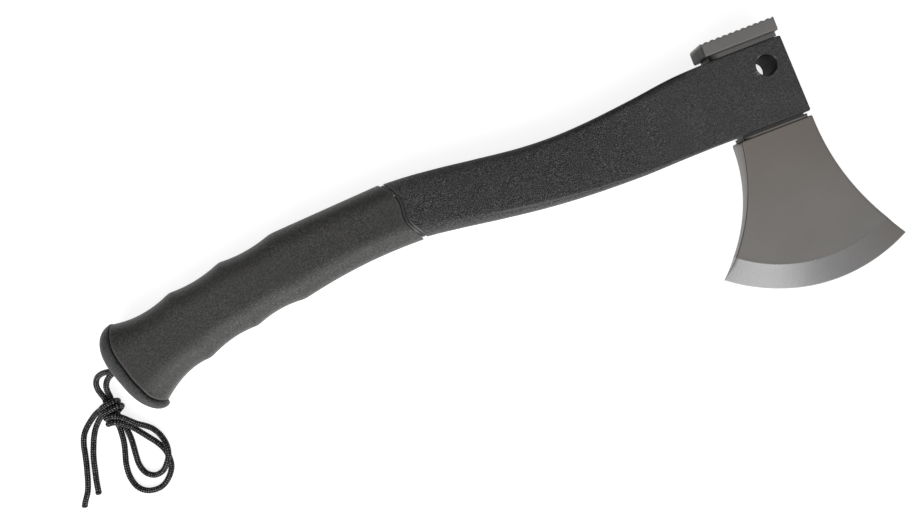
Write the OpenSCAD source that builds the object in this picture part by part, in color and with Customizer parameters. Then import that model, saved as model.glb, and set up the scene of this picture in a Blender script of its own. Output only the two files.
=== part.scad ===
// Hatchet with a steel head, a moulded handle and a pull-out fire starting rod on a lanyard.
// It lies on its side: +X runs along the handle towards the head, +Y from the cutting edge towards the
// hammer poll, and +Z is up, through the handle's thickness. Everything is drawn in the head's own frame,
// with x = 0 at the handle's head end, y = 0 near the middle of the head block and z = 0 in the middle of
// the thickness, and place() moves it to the part's frame. The lanyard's heights are above the floor.

/* [Head] */
// Length of the head block that holds the steel
block_len = 45; // [40:1:50]
// Height of the head block's poll side above the head axis
block_top = 22.3; // [20:0.1:24]
// Depth of the head block's blade side below the head axis
block_low = 20.7; // [19:0.1:22]
// Thickness of the head block and of the butt cap
handle_t = 28; // [26:0.5:32]
// How much further the head end reaches on the blade side
end_rake = 1.1; // [0:0.1:2]
// Diameter of the hanging hole
hang_d = 11.5; // [10:0.5:13]
// Distance of the hanging hole from the head end
hang_x = 12.5; // [11:0.5:14]
// Height of the hanging hole above the head axis
hang_y = 10; // [9:0.1:11]

/* [Blade] */
// Lowest point of the cutting edge below the head axis
edge_low = 111; // [108:1:114]
// Radius of the cutting edge's curve
edge_r = 93.5; // [90:0.5:97]
// How far the toe reaches past the handle's head end
toe_x = 30; // [28:1:32]
// Thickness of the blade at its top
blade_top_t = 20.4; // [18:0.2:22]
// Thickness of the blade where its hollow is thinnest
blade_thin_t = 6.6; // [6:0.2:8]
// Half of the angle between the two ground bevels
bevel_angle = 13.4; // [12:0.2:15]

/* [Poll] */
// Length of the hammer poll
poll_len = 41.5; // [38:0.5:44]
// Height of the hammer poll's striking face above the head axis
poll_top = 33; // [31:0.5:35]
// Thickness of the hammer poll
poll_t = 26; // [22:0.5:28]
// Number of grooves across the striking face
poll_grooves = 12; // [8:1:16]
// Depth of the grooves in the striking face
groove_depth = 0.7; // [0.3:0.1:1]

/* [Handle] */
// How far the handle reaches back from the head end
handle_len = 398.1; // [394:0.1:400]
// Width of the rim that closes the butt
rim_w = 7.6; // [6:0.1:8]
// Half of the grip's thickness at the palm
grip_half = 13.3; // [12:0.1:13.6]
// Wall of rubber over the core's top and bottom
grip_wall = 7; // [6.5:0.5:8]
// Half of the core's thickness
core_half = 9.6; // [9.2:0.1:10]
// Width of the groove at the grip's two ends
seam_gap = 0.8; // [0.4:0.1:1.2]

/* [Fire rod] */
// Diameter of the fire starting rod
rod_d = 9; // [8:0.5:9]
// Length of the rod, with the end that sits in the plug
rod_len = 78; // [60:1:80]
// Diameter of the plug
plug_d = 14; // [13.6:0.1:14]
// Length of the plug
plug_len = 16; // [15:0.5:18]
// Gap between the plug and its socket, on the radius
plug_gap = 0.06; // [0.03:0.01:0.1]

/* [Lanyard] */
// Diameter of the cord
cord_d = 3.2; // [3:0.1:3.4]

/* [Hidden] */
$fn = 96;

// The part's origin is under the middle of the box round the hatchet.
origin_x = (toe_x - handle_len) / 2;
origin_y = (poll_top - edge_low) / 2;
floor_z = -handle_t / 2;

// Blade: each side is an arc, and the cutting edge is one arc.
edge_c = [-12.5, edge_r - edge_low];
heel_side_c = [-132.9, -18.4];
heel_side_r = 94.4;
toe_side_c = [154.6, -11.8];
toe_side_r = 153;
blade_top_y = -23.2;
hollow_y = -84;
hollow_rise = (blade_top_t - blade_thin_t) / 2;
hollow_span = blade_top_y - hollow_y;
hollow_r = (hollow_span * hollow_span + hollow_rise * hollow_rise) / (2 * hollow_rise);
edge_flat = 0.3;

// Necks and web: [left x, right x, half thickness]
poll_x = -0.2;
poll_low = 25.4;
poll_neck = [-39.3, -1, 9.5];
blade_neck = [-37, 0.2, 9];
web = [-35, -5, 7];
anchor_d = 9;
anchor_at = [[-28, -10], [-12.5, -12], [-28, 8]];
hang_clear_d = 17;

// Neck outline: points that the top and bottom lines pass through, and the half thickness and the corner
// half axes (across the height, across the thickness) along the way.
neck_top = [[-262, 24], [-236, 24.9], [-215, 24.3], [-195, 22.3], [-175, 19.6], [-150, 16.5], [-130, 15.6],
            [-110, 16.4], [-85, 18.8], [-63, 21.5], [-45, 22.3], [-30, 22.3]];
neck_low = [[-262, -12], [-236, -10.4], [-215, -10], [-195, -12.3], [-170, -16], [-145, -19.1], [-120, -20.9],
            [-90, -21.6], [-65, -21], [-45, -20.7], [-30, -20.7]];
neck_half = [[-262, 12.6], [-236, 12.6], [-190, 12.4], [-130, 12.6], [-80, 13.6], [-45, 14], [-30, 14]];
neck_corner_y = [[-262, 9], [-236, 9], [-190, 6], [-130, 3.4], [-80, 1.8], [-45, 1.2], [-30, 1.2]];
neck_corner_z = [[-262, 11], [-236, 11], [-190, 9], [-130, 6], [-80, 2.6], [-45, 1.4], [-30, 1.4]];
neck_steps = 20;
end_round = 1.2;

// The seam between the neck and the grip, from the top edge down to the bottom edge
seam_line = [[-229.5, 27], [-225.6, 22.4], [-222.6, 18.6], [-220.9, 14.5], [-220.4, 10], [-221, 5],
             [-220.8, 1], [-219.2, -3], [-217, -6.6], [-215.2, -10.5], [-214, -14]];

// Grip: crests of the finger swells on the top and bottom lines, from the butt to the neck, and how deep
// the hollow behind each crest is. The first and the last points lie past the grip's trimmed ends.
crest_top = [[-404, 8.6], [-391, 7], [-354, 11.5], [-323, 17.2], [-292, 21.7], [-228, 25.2], [-212, 25.4]];
dip_top = [0, 3.2, 1.8, 1.7, 0, 0];
crest_low = [[-380, -52], [-376, -42], [-346, -29], [-316, -22.2], [-287, -18], [-216, -10.9], [-202, -10.2]];
dip_low = [0, 3, 2, 1.9, 2.3, 0];
swell_half = [13.4, 13.4, 12.6, grip_half, grip_half, 13, 13];
swell_steps = [1, 7, 6, 6, 8, 1];
grip_corner_y = 0.62;
grip_corner_z = 0.86;

// Butt: the grip's end and the cap's outer face are arcs round one centre.
butt_r = 55.4;
butt_c = [butt_r - handle_len, -6.2];
butt_corner_r = 5;
butt_top_a = 170.9;
butt_low_a = 223.6;
butt_edge_r = 4.5;
cap_tilt = 18;
cap_h = 55;

// Fire rod: its axis starts at the middle of the butt's outer face.
bore_at = [1.9 - handle_len, -17.4];
bore_tilt = 12;
bore_d = rod_d + 1;
bore_len = 96;
plug_inset = 1;
socket_len = plug_inset + plug_len + 0.5;
cavity_d = 9.6;
cavity_len = 9.5;
pin_d = 3;
pin_in = 4.5;
ring_in = 12.2;
ring_wire_d = 1.64;

// Lanyard: routes on the floor and up to the butt. Heights are of the cord's middle above the floor.
cord_r = cord_d / 2;
lie = cord_r;
over = lie + cord_d + 0.2;
strand_a_route = [[-387.6, -15.7, 14], [-387.7, -15.7, 15.2], [-388.7, -15.9, 16.6], [-390.8, -16.4, 17],
                  [-395, -16.9, 16.9], [-399.4, -16.7, 16.3], [-403.8, -16.2, 14.2], [-408.2, -17.2, 11.2],
                  [-411, -20.1, 8.6], [-411.8, -23.6, 6.8], [-411.2, -27, 5.6], [-410, -29.6, 5]];
strand_b_route = [[-387.6, -15.7, 14], [-387.7, -15.7, 12.8], [-388.7, -15.9, 11.4], [-390.8, -16.4, 10.9],
                  [-395, -17.2, 10.8], [-399.6, -18.1, 10.5], [-403.8, -19.9, 9.2], [-406.6, -22.8, 7.4],
                  [-407.7, -26, 5.8], [-407.7, -29.4, 4.6]];
loop_a_route = [[-402.6, -46, 4.9], [-399.8, -48.8, 4], [-396, -51.6, 2.4], [-393, -54.6, lie],
                [-390.4, -58.8, 2.2], [-388.7, -63.4, 3.6], [-388.3, -67.4, 4.8], [-389.3, -71.2, over],
                [-391.8, -75, over], [-395.4, -78, 3.6], [-400, -79, lie], [-403.5, -77.6, lie],
                [-406, -74.6, lie], [-407.2, -70, lie], [-407, -65, lie], [-406.5, -60, lie],
                [-406.2, -55, lie], [-406.6, -50, lie], [-407, -46, lie]];
loop_b_route = [[-403.4, -47.6, lie], [-402, -51, lie], [-399.8, -54, lie], [-397, -57.8, lie],
                [-394, -61.8, lie], [-391.6, -66, lie], [-390.4, -70, lie], [-390.2, -74, lie],
                [-391, -78, lie], [-393.5, -81.6, lie], [-397, -84.2, lie], [-401, -85.4, lie],
                [-406, -85, lie], [-410, -83, lie], [-412.8, -80, lie], [-414.6, -76, lie],
                [-415.2, -72, lie], [-414.8, -67, lie], [-413.5, -62, lie], [-412, -57, lie],
                [-411, -52, lie], [-410.4, -46, lie]];
tail_a_route = [[-414, -35.8, 4], [-417, -35.2, 3], [-420, -36, 2], [-424, -38, lie], [-428, -40.8, lie],
                [-431, -44.2, lie], [-433, -49, lie], [-434.2, -54, lie], [-435.4, -59, lie],
                [-436.8, -64, lie], [-438.2, -69, lie], [-440, -74, lie], [-442.2, -78.6, lie],
                [-443.3, -80.5, lie]];
tail_b_route = [[-413.2, -39.4, 3.2], [-417, -39, 2.6], [-420, -40.5, lie], [-423, -43.2, lie],
                [-425.5, -47, lie], [-427.5, -51.2, lie], [-429.2, -55.4, lie], [-430.6, -60, lie],
                [-431.8, -65, lie], [-433, -70, lie], [-434, -76.5, lie]];
// Rings of the knot's outer shape: [x, y, half width, half height], from the butt's side to the loops
knot_rings = [[-409.2, -28.8, 3, 2.4], [-409.4, -31.2, 4.2, 3.8], [-410, -35, 5.4, 4.6],
              [-410, -39, 5.6, 4.8], [-408.6, -43, 5.4, 4], [-406.6, -46.4, 5.6, 2.6]];
knot_sides = 16;
cord_sides = 8;
tip_len = 1.6;

// ---------- points and curves ----------

function lerp(a, b, t) = a + (b - a) * t;

// Index of the stretch of p that holds x
function stretch(p, x, i = 0) = (i >= len(p) - 2 || x < p[i + 1][0]) ? i : stretch(p, x, i + 1);

// Slope of p at point i, from its neighbours
function slope(p, i) =
    let (a = max(i - 1, 0), b = min(i + 1, len(p) - 1)) (p[b][1] - p[a][1]) / (p[b][0] - p[a][0]);

// Smooth line through the points p, as a height at x
function curve(p, x) =
    let (i = stretch(p, x), w = p[i + 1][0] - p[i][0], t = (x - p[i][0]) / w, s = 1 - t)
    (1 + 2 * t) * s * s * p[i][1] + t * s * s * w * slope(p, i)
    + t * t * (3 - 2 * t) * p[i + 1][1] - t * t * s * w * slope(p, i + 1);

// Point at t on the line from a to b, pushed by the hollow between two crests
function swell(a, b, dip, t) = lerp(a, b, t) + [0, dip * 4 * t * (1 - t)];

// Points on an arc round c
function arc(c, r, from, to, steps) =
    [for (i = [0 : steps]) let (a = lerp(from, to, i / steps)) c + r * [cos(a), sin(a)]];

// One ring of a loft: a rounded rectangle that stands on the line from low to top, with corner half axes
corner_steps = 5;
function ring(top, low, half_t, corner_y, corner_z) =
    let (mid = (top + low) / 2, half_h = norm(top - low) / 2, up = (top - low) / (2 * half_h))
    [for (q = [0 : 3], i = [0 : corner_steps])
        let (a = 90 * (q + i / corner_steps),
             h = (q == 0 || q == 3 ? 1 : -1) * (half_h - corner_y) + corner_y * cos(a),
             z = (q < 2 ? 1 : -1) * (half_t - corner_z) + corner_z * sin(a))
        [mid.x + up.x * h, mid.y + up.y * h, z]];

// Closed solid through a row of rings that all have the same number of points
module loft(rings) {
    n = len(rings[0]);
    last = (len(rings) - 1) * n;
    polyhedron(
        points = [for (r = rings) each r],
        faces = concat(
            [[for (i = [0 : n - 1]) i]],
            [[for (i = [n - 1 : -1 : 0]) last + i]],
            [for (k = [0 : n : last - n], i = [0 : n - 1]) [k + (i + 1) % n, k + i, k + n + i]],
            [for (k = [0 : n : last - n], i = [0 : n - 1])
                [k + n + (i + 1) % n, k + (i + 1) % n, k + n + i]]));
}

// Direction of a route at point i
function along(p, i) =
    let (d = p[min(i + 1, len(p) - 1)] - p[max(i - 1, 0)]) d / norm(d);

// Ring of a cord round a point: its corners lie level, so the cord rests on a flat underside
function cord_ring(c, d, r_side, r_up, sides) =
    let (side = cross([0, 0, 1], d) / norm(cross([0, 0, 1], d)), up = cross(d, side))
    [for (i = [0 : sides - 1]) let (a = 360 * (i + 0.5) / sides) c + side * r_side * cos(a) + up * r_up * sin(a)];

module cord(route) {
    loft([for (i = [0 : len(route) - 1]) cord_ring(route[i], along(route, i), cord_r, cord_r, cord_sides)]);
}

module place() {
    translate([-origin_x, -origin_y, -floor_z]) children();
}

module on_floor() {
    translate([-origin_x, -origin_y, 0]) children();
}

// Runs along the fire rod's axis: z = 0 at the butt's outer face, and +z goes into the handle
module on_bore(depth) {
    translate([bore_at.x, bore_at.y, 0]) rotate([0, 90, bore_tilt]) translate([0, 0, depth]) children();
}

// ---------- head ----------

module slab(x, y, half_t) {
    translate([x[0], y[0], -half_t]) cube([x[1] - x[0], y[1] - y[0], 2 * half_t]);
}

module blade() {
    round_in = 1.5;
    top_left = heel_side_c.x + sqrt(heel_side_r * heel_side_r - pow(blade_top_y - heel_side_c.y, 2));
    intersection() {
        difference() {
            translate([-80, -edge_low - 1, -blade_top_t / 2])
                cube([80 + toe_x, edge_low + 1 + blade_top_y, blade_top_t]);
            translate(concat(heel_side_c, -handle_t)) cylinder(h = 2 * handle_t, r = heel_side_r, $fn = 200);
            translate(concat(toe_side_c, -handle_t)) cylinder(h = 2 * handle_t, r = toe_side_r, $fn = 200);
            for (side = [-1, 1])
                translate([-90, hollow_y, side * (blade_thin_t / 2 + hollow_r)]) rotate([0, 90, 0])
                    cylinder(h = 140, r = hollow_r, $fn = 400);
            translate([top_left - 1, blade_top_y - round_in, -handle_t])
                cube([1 + round_in, 1 + round_in, 2 * handle_t]);
        }
        edge_lens();
    }
    translate([top_left + round_in, blade_top_y - round_in, 0])
        cylinder(h = blade_top_t - 0.8, r = round_in, center = true);
}

// Two cones back to back, which cut the curved edge and both bevels
module edge_lens() {
    half_h = edge_flat / 2 + edge_r * tan(bevel_angle);
    translate(edge_c)
        rotate_extrude($fn = 400)
            polygon([[0, -half_h], [edge_r, -edge_flat / 2], [edge_r, edge_flat / 2], [0, half_h]]);
}

module poll() {
    pitch = poll_len / poll_grooves;
    difference() {
        slab([poll_x - poll_len, poll_x], [poll_low, poll_top], poll_t / 2);
        for (i = [0 : poll_grooves])
            translate([poll_x - i * pitch, poll_top, 0]) linear_extrude(poll_t + 2, center = true)
                polygon([[-pitch / 3, 0.01], [0, -groove_depth], [pitch / 3, 0.01]]);
    }
}

module axe_head() {
    color([0.36, 0.35, 0.33]) place() difference() {
        union() {
            blade();
            slab([blade_neck[0], blade_neck[1]], [blade_top_y - 0.5, -block_low], blade_neck[2]);
            poll();
            slab([poll_neck[0], poll_neck[1]], [block_top, poll_low + 0.5], poll_neck[2]);
            slab([web[0], web[1]], [-block_low - 0.5, block_top + 0.5], web[2]);
        }
        for (p = anchor_at) translate([p.x, p.y, 0]) cylinder(h = handle_t, d = anchor_d, center = true);
        translate([-hang_x, hang_y, 0]) cylinder(h = handle_t, d = hang_clear_d, center = true);
        slab([-hang_x, 1], [hang_y - hang_clear_d / 2, hang_y + hang_clear_d / 2], handle_t / 2);
    }
}

// ---------- handle ----------

function neck_ring(x, inset = 0, rake = 0) =
    ring([x, curve(neck_top, x) - inset], [x + rake, curve(neck_low, x) + inset],
         curve(neck_half, x) - inset, curve(neck_corner_y, x), curve(neck_corner_z, x));

function block_ring(x, inset) =
    ring([x, block_top - inset], [x + end_rake, -block_low + inset], handle_t / 2 - inset, 1.2, 1.4);

module neck() {
    loft(concat(
        [for (i = [0 : neck_steps]) neck_ring(lerp(-240, -block_len, i / neck_steps))],
        [block_ring(-end_round, 0), block_ring(-end_round * 0.3, end_round * 0.3), block_ring(0, end_round)]));
}

// Everything on the head's side of the seam, moved by gap
module head_side(gap) {
    linear_extrude(3 * handle_t, center = true)
        polygon(concat([for (p = seam_line) p + [gap, 0]], [[20, -60], [20, 60]]));
}

// The outline of the core inside the grip
module core() {
    intersection() {
        linear_extrude(2 * core_half, center = true)
            polygon(concat([for (p = crest_top) p - [0, grip_wall]],
                           [for (i = [len(crest_low) - 1 : -1 : 0]) crest_low[i] + [0, grip_wall]]));
        inside_butt(0);
    }
}

// Everything on the head's side of the rim, with a gap
module inside_butt(gap) {
    r = butt_r - rim_w - gap;
    translate([butt_c.x, butt_c.y, 0]) cylinder(h = 3 * handle_t, r = r, center = true, $fn = 200);
    translate([butt_c.x, -60, -1.5 * handle_t]) cube([360, 120, 3 * handle_t]);
}

module handle_body() {
    color([0.13, 0.13, 0.13]) place() difference() {
        union() {
            intersection() {
                neck();
                head_side(seam_gap / 2);
            }
            core();
        }
        head_space();
        translate([-hang_x, hang_y, 0]) cylinder(h = 2 * handle_t, d = hang_d, center = true);
        rod_bore();
    }
}

// The room that the steel takes up in the moulding
module head_space() {
    difference() {
        slab([web[0], web[1]], [-block_low - 0.5, block_top + 0.5], web[2]);
        for (p = anchor_at) translate([p.x, p.y, 0]) cylinder(h = handle_t, d = anchor_d, center = true);
        translate([-hang_x, hang_y, 0]) cylinder(h = handle_t, d = hang_clear_d, center = true);
        slab([-hang_x, 1], [hang_y - hang_clear_d / 2, hang_y + hang_clear_d / 2], handle_t / 2);
    }
}

module rod_bore() {
    on_bore(-10) cylinder(h = 10 + socket_len, d = plug_d + 2 * plug_gap);
    on_bore(0) cylinder(h = bore_len, d = bore_d);
}

function grip_rings() =
    [for (s = [0 : len(swell_steps) - 1], k = [0 : swell_steps[s] - (s == len(swell_steps) - 1 ? 0 : 1)])
        let (t = k / swell_steps[s],
             top = swell(crest_top[s], crest_top[s + 1], -dip_top[s], t),
             low = swell(crest_low[s], crest_low[s + 1], dip_low[s], t),
             half = lerp(swell_half[s], swell_half[s + 1], t))
        ring(top, low, half, norm(top - low) / 2 * grip_corner_y, half * grip_corner_z)];

module grip_sleeve() {
    color([0.09, 0.09, 0.09]) place() difference() {
        intersection() {
            loft(grip_rings());
            inside_butt(seam_gap / 2);
        }
        head_side(-seam_gap / 2);
        core();
    }
}

module butt_outline() {
    top_c = butt_c + (butt_r - butt_corner_r) * [cos(butt_top_a), sin(butt_top_a)];
    low_c = butt_c + (butt_r - butt_corner_r) * [cos(butt_low_a), sin(butt_low_a)];
    difference() {
        polygon(concat(
            arc(top_c, butt_corner_r, 40, butt_top_a, 8),
            arc(butt_c, butt_r + 1, butt_top_a, butt_low_a, 24),
            arc(low_c, butt_corner_r, butt_low_a, 370, 8)));
        translate(butt_c) circle(r = butt_r - rim_w, $fn = 200);
    }
}

// Disc with a rounded edge, which gives the cap its outer face
module butt_disc() {
    translate([butt_c.x, butt_c.y, 0]) rotate_extrude($fn = 200) {
        for (side = [-1, 1])
            translate([butt_r - butt_edge_r, side * (handle_t / 2 - butt_edge_r)])
                circle(r = butt_edge_r, $fn = 64);
        translate([0, -handle_t / 2]) square([butt_r - butt_edge_r, handle_t]);
        translate([0, butt_edge_r - handle_t / 2]) square([butt_r, handle_t - 2 * butt_edge_r]);
    }
}

// The cap seen from the butt is an oval with flat sides
module cap_oval() {
    h = cap_h - handle_t;
    translate([butt_c.x, butt_c.y, 0]) rotate([0, 90, cap_tilt]) translate([0, 0, -60])
        linear_extrude(60) {
            for (side = [-1, 1]) translate([0, side * h / 2]) circle(d = handle_t + 0.2);
            square([handle_t + 0.2, h], center = true);
        }
}

module butt_cap() {
    color([0.15, 0.15, 0.15]) place() difference() {
        intersection() {
            linear_extrude(2 * handle_t, center = true) butt_outline();
            cap_oval();
            butt_disc();
        }
        rod_bore();
    }
}

// ---------- fire rod ----------

module fire_steel_plug() {
    color([0.1, 0.1, 0.1]) place() difference() {
        on_bore(plug_inset) cylinder(h = plug_len, d = plug_d);
        on_bore(plug_inset - 1) cylinder(h = cavity_len + 1, d = cavity_d);
        on_bore(plug_inset + cavity_len + 1) cylinder(h = plug_len, d = rod_d);
        on_bore(plug_inset + pin_in) rotate([90, 0, 0]) cylinder(h = 2 * plug_d, d = pin_d, center = true);
        on_bore(plug_inset + ring_in - 1) rotate_extrude() translate([plug_d / 2 - ring_wire_d, 0])
            square([2 * ring_wire_d, 2]);
    }
}

module fire_steel_rod() {
    color([0.3, 0.3, 0.31]) place()
        on_bore(plug_inset + cavity_len + 1) cylinder(h = rod_len, d = rod_d);
}

module lanyard_pin() {
    reach = sqrt(plug_d * plug_d - pin_d * pin_d) - 0.4;
    color([0.7, 0.7, 0.7]) place()
        on_bore(plug_inset + pin_in) rotate([90, 0, 0]) cylinder(h = reach, d = pin_d, center = true);
}

module plug_o_ring() {
    color([0.04, 0.04, 0.04]) place()
        on_bore(plug_inset + ring_in) rotate_extrude() translate([plug_d / 2 - ring_wire_d / 2 - 0.01, 0])
            circle(d = ring_wire_d, $fn = 32);
}

// ---------- lanyard ----------

module black_cord() {
    color([0.07, 0.07, 0.07]) on_floor() children();
}

module lanyard_knot() {
    black_cord() loft([for (i = [0 : len(knot_rings) - 1])
        let (k = knot_rings[i], d = along([for (q = knot_rings) [q[0], q[1], 0]], i))
        cord_ring([k[0], k[1], k[3] + 0.2], d, k[2], k[3], knot_sides)]);
}

module tip(route) {
    end = route[len(route) - 1];
    d = along(route, len(route) - 1);
    loft([cord_ring(end, d, cord_r, cord_r, cord_sides),
          cord_ring(end + d * tip_len * 0.6, d, cord_r, cord_r, cord_sides),
          cord_ring(end + d * tip_len, d, cord_r * 0.7, cord_r * 0.7, cord_sides)]);
}

module lanyard_strand_a() { black_cord() cord(strand_a_route); }
module lanyard_strand_b() { black_cord() cord(strand_b_route); }
module lanyard_loop_a() { black_cord() cord(loop_a_route); }
module lanyard_loop_b() { black_cord() cord(loop_b_route); }
module lanyard_tail_a() { black_cord() cord(tail_a_route); }
module lanyard_tail_b() { black_cord() cord(tail_b_route); }
module lanyard_tip_a() { black_cord() tip(tail_a_route); }
module lanyard_tip_b() { black_cord() tip(tail_b_route); }

axe_head();
handle_body();
grip_sleeve();
butt_cap();
fire_steel_plug();
fire_steel_rod();
lanyard_pin();
plug_o_ring();
lanyard_strand_a();
lanyard_strand_b();
lanyard_knot();
lanyard_loop_a();
lanyard_loop_b();
lanyard_tail_a();
lanyard_tail_b();
lanyard_tip_a();
lanyard_tip_b();
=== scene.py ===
"""The hatchet's visual model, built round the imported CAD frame.

All shapes are drawn in the head's own frame, in millimetres: x = 0 at the handle's head end, y = 0 near the
middle of the head block, z = 0 in the middle of the thickness. row() takes them to the part's frame, in
metres.
"""

import math

import bmesh
import bpy
import numpy as np
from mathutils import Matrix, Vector


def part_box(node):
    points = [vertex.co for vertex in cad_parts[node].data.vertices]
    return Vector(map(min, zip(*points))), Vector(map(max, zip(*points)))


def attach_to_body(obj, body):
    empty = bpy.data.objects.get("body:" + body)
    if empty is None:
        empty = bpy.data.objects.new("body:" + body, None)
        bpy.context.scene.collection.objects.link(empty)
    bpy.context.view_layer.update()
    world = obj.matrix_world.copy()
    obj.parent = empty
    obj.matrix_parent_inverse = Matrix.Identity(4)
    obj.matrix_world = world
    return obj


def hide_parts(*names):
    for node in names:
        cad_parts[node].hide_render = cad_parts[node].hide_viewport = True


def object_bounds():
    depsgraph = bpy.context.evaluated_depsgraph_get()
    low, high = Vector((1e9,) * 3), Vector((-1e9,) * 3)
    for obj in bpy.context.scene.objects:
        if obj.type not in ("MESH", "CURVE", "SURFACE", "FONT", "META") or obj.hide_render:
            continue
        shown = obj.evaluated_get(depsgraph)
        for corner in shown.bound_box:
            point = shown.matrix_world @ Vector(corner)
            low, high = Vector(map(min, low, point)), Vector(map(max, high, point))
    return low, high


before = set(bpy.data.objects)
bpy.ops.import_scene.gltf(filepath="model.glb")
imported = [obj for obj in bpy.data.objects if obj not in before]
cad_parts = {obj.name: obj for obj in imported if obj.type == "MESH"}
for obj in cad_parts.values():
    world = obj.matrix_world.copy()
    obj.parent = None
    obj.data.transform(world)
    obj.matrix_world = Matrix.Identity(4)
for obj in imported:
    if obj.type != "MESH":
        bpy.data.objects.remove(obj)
cad_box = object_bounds()

MM = 0.001
TOE_X = 30.0
POLL_TOP = 33.0
head_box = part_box("axe_head")
ORIGIN = np.array(
    [
        head_box[1][0] / MM - TOE_X,
        head_box[1][1] / MM - POLL_TOP,
        0.5 * (cad_box[0][2] + cad_box[1][2]) / MM,
    ]
)


def row(points):
    """Points of the head's frame, in mm, as points of the part's frame, in metres."""
    return (np.asarray(points, float) + ORIGIN) * MM


def smooth(x, a, b):
    """0 before a and 1 after b, with a smooth rise between them."""
    t = np.clip((np.asarray(x, float) - a) / (b - a), 0, 1)
    return t * t * (3 - 2 * t)


def curve(points, x):
    """A smooth line through the points, as a height at x."""
    p = np.asarray(points, float)
    x = np.clip(np.asarray(x, float), p[0, 0], p[-1, 0])
    n = len(p)
    before = np.maximum(np.arange(n) - 1, 0)
    after = np.minimum(np.arange(n) + 1, n - 1)
    slope = (p[after, 1] - p[before, 1]) / (p[after, 0] - p[before, 0])
    i = np.clip(np.searchsorted(p[:, 0], x, side="right") - 1, 0, n - 2)
    w = p[i + 1, 0] - p[i, 0]
    t = (x - p[i, 0]) / w
    s = 1 - t
    return (
        (1 + 2 * t) * s * s * p[i, 1]
        + t * s * s * w * slope[i]
        + t * t * (3 - 2 * t) * p[i + 1, 1]
        - t * t * s * w * slope[i + 1]
    )


def put(name, data):
    """A new object of the scene."""
    obj = bpy.data.objects.new(name, data)
    bpy.context.scene.collection.objects.link(obj)
    return obj


# ---------- camera ----------

VIEW_AT = (-201.0, -28.3, 590.0)  # straight above this point, this far above the middle of the thickness
ROLL = -21.0  # degrees that the handle rises to the right
camera = put("camera", bpy.data.cameras.new("camera"))
camera.location = row(VIEW_AT)
camera.rotation_euler = (0, 0, math.radians(ROLL))
camera.data.sensor_width = 36.0
camera.data.lens = 42.6
camera.data.clip_start = 0.01
bpy.context.scene.camera = camera
VIEW_RIGHT = np.array([math.cos(math.radians(ROLL)), math.sin(math.radians(ROLL)), 0])
VIEW_UP = np.array([-math.sin(math.radians(ROLL)), math.cos(math.radians(ROLL)), 0])


# ---------- materials ----------


class Nodes:
    """A material's or world's node tree, with short names for the nodes it uses."""

    def __init__(self, owner, shader="Principled BSDF"):
        owner.use_nodes = True
        self.owner = owner
        self.tree = owner.node_tree
        self.shader = self.tree.nodes[shader]
        self.coords = self.add("ShaderNodeTexCoord", {}, "Object")

    def fill(self, node, sockets):
        """Gives sockets their values, which are numbers, colours or other nodes' outputs."""
        for name, value in sockets.items():
            if isinstance(value, bpy.types.NodeSocket):
                self.tree.links.new(value, node.inputs[name])
            else:
                node.inputs[name].default_value = value

    def add(self, kind, sockets, output=0, **settings):
        node = self.tree.nodes.new(kind)
        for key, value in settings.items():
            setattr(node, key, value)
        self.fill(node, sockets)
        return node.outputs[output]

    def noise(self, scale, detail=2.0, rough=0.5, coords=None):
        sockets = {"Vector": coords or self.coords, "Scale": scale, "Detail": detail, "Roughness": rough}
        return self.add("ShaderNodeTexNoise", sockets, "Fac")

    def math(self, operation, a, b=0.0, clamp=False):
        return self.add("ShaderNodeMath", {0: a, 1: b}, operation=operation, use_clamp=clamp)

    def times(self, a, b):
        return self.math("MULTIPLY", a, b)

    def span(self, value, low, high, to_low=0, to_high=1):
        """The value, with low to high stretched over to_low to to_high."""
        return self.add("ShaderNodeMapRange", {0: value, 1: low, 2: high, 3: to_low, 4: to_high})

    def mix(self, fac, a, b):
        return self.add("ShaderNodeMix", {0: fac, 6: opaque(a), 7: opaque(b)}, 2, data_type="RGBA")

    def attribute(self, name):
        return self.add("ShaderNodeAttribute", {}, "Fac", attribute_name=name)

    def bump(self, height, depth_mm, strength=1.0, after=None):
        sockets = {"Height": height, "Strength": strength, "Distance": depth_mm * MM}
        if after is not None:
            sockets["Normal"] = after
        return self.add("ShaderNodeBump", sockets)

    def set(self, **values):
        self.fill(self.shader, {key.replace("_", " "): opaque(value) for key, value in values.items()})
        return self.owner


def surface(name):
    """The nodes of a new material."""
    return Nodes(bpy.data.materials.new(name))


def opaque(value):
    """A colour with its alpha, and anything else as it is."""
    return (*value, 1) if isinstance(value, tuple) else value


def tint(colour, times):
    """The colour made lighter or darker, as far as white."""
    return tuple(min(1, c * times) for c in colour)


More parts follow.
